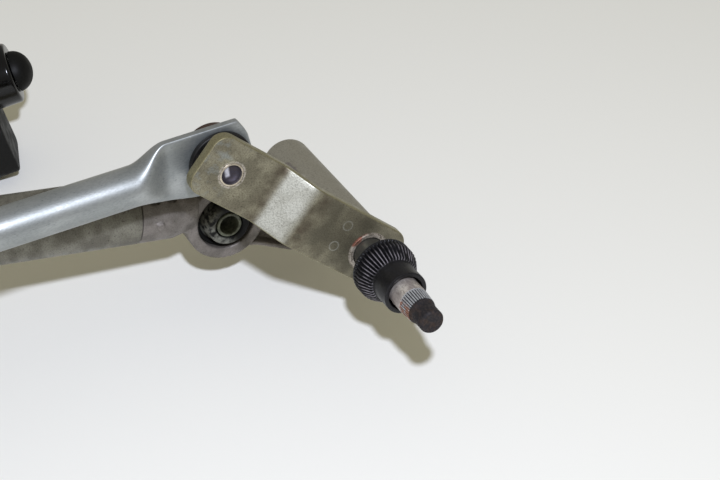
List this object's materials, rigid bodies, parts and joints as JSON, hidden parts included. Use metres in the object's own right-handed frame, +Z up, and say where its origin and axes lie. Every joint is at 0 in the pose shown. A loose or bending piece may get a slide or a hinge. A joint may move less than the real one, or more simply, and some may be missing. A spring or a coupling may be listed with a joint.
{
  "type": "wiper linkage",
  "caption": "Wiper linkage: spindles with ribbed collars and bent levers on a tubular frame, joined by ball-jointed rods and driven from a motor crank.",
  "frame": {"origin": "centre of the flat end of the right spindle's tip", "axes": "+X runs from the left pivot to the right pivot, -Y points out along the spindles towards the wiper arms, +Z is up across the levers at mid-stroke"},
  "size_m": [0.4855, 0.1904, 0.135],
  "materials": {
    "cast": "as cast, dull grey",
    "zinc": "bright zinc plated",
    "passivated": "yellow passivated zinc, stained",
    "steel": "turned steel",
    "black_plastic": "moulded",
    "natural_plastic": "moulded, natural colour",
    "rubber": "moulded"
  },
  "bodies": {
    "frame": {"frame_tube": "cast", "motor_bracket": "cast", "right_clamp_screw": "zinc", "left_clamp_screw": "zinc", "right_housing": "cast", "right_grommet": "rubber", "right_grommet_spacer": "steel", "right_front_bush": "natural_plastic", "right_rear_bush": "natural_plastic", "right_thrust_washer": "natural_plastic", "left_housing": "cast", "left_grommet": "rubber", "left_grommet_spacer": "steel", "left_front_bush": "natural_plastic", "left_rear_bush": "natural_plastic", "left_thrust_washer": "natural_plastic", "rear_buffer": "rubber", "buffer_cap": "rubber", "rear_foot": "rubber"},
    "right_crank": {"right_spindle": "steel", "right_lever": "passivated", "right_ball_stud": "steel", "right_ribbed_collar": "black_plastic", "right_rear_washer": "zinc", "right_circlip": "steel"},
    "left_crank": {"left_spindle": "steel", "left_lever": "passivated", "left_ball_stud": "steel", "left_ribbed_collar": "black_plastic", "left_rear_washer": "zinc", "left_circlip": "steel"},
    "tie_rod": {"tie_rod": "zinc", "tie_rod_right_cup": "black_plastic", "tie_rod_left_cup": "black_plastic"},
    "drive_rod": {"drive_rod": "zinc", "drive_rod_lever_cup": "black_plastic", "drive_rod_crank_cup": "black_plastic"},
    "motor_crank": {"crank_arm": "steel", "crank_ball_stud": "steel"}
  },
  "joints": [
    {"name": "right_spindle_turn", "type": "hinge", "parent": "frame", "child": "right_crank", "pos_m": [0, 0.045, 0], "axis": [0, 1, 0], "range_deg": [0, 90]},
    {"name": "left_spindle_turn", "type": "hinge", "parent": "frame", "child": "left_crank", "pos_m": [-0.42, 0.045, 0], "axis": [0, 1, 0], "range_deg": [0, 90]},
    {"name": "tie_rod_swing", "type": "hinge", "parent": "right_crank", "child": "tie_rod", "pos_m": [-0.03889, 0.0645, 0.03889], "axis": [0, 1, 0], "range_deg": [-90, 0]},
    {"name": "drive_rod_swing", "type": "hinge", "parent": "left_crank", "child": "drive_rod", "pos_m": [-0.45889, 0.041, 0.03889], "axis": [0, 1, 0], "range_deg": [-90, 0]},
    {"name": "crank_turn", "type": "hinge", "parent": "drive_rod", "child": "motor_crank", "pos_m": [-0.25889, 0.041, 0.076], "axis": [0, 1, 0], "range_deg": [0, 180]}
  ],
  "couplings": [
    {"joint": "left_spindle_turn", "follows": "right_spindle_turn", "ratio": 1},
    {"joint": "tie_rod_swing", "follows": "right_spindle_turn", "ratio": -1},
    {"joint": "drive_rod_swing", "follows": "right_spindle_turn", "ratio": -1},
    {"joint": "crank_turn", "follows": "right_spindle_turn", "ratio": 2}
  ]
}
